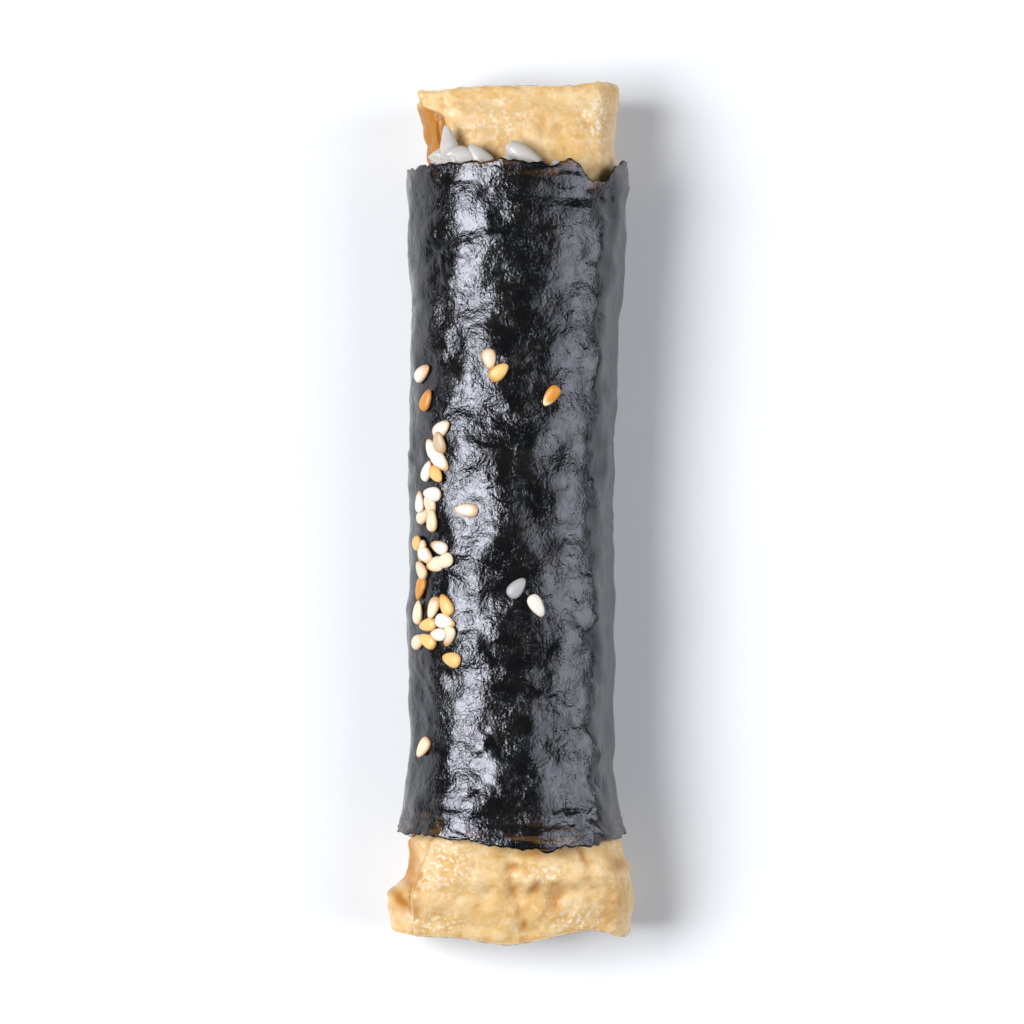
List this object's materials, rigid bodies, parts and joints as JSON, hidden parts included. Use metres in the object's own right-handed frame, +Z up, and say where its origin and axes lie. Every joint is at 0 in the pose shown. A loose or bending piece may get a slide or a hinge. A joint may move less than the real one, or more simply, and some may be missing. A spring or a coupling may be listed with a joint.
{
  "type": "kimbap roll",
  "caption": "Small kimbap: rice and a rolled fish-cake sheet in a glossy black seaweed wrap, with sesame seeds along one side and the fish cake showing at both ends.",
  "frame": {"origin": "under the middle of the roll, on the surface that it rests on", "axes": "+Z up, +Y along the roll towards the end with the notched wrap and the rice grains on the fish cake, +X across it, away from the side with the sesame seeds"},
  "size_m": [0.0342, 0.1208, 0.0237],
  "materials": {
    "seaweed": "oiled roasted seaweed, near black, glossy and finely crinkled",
    "rice": "cooked short-grain rice, white and slightly moist",
    "fish_cake": "fried fish-cake sheet, golden with a thin film of oil"
  },
  "bodies": {
    "root": {"seaweed": "seaweed", "rice": "rice", "fish_cake": "fish_cake"}
  },
  "joints": []
}
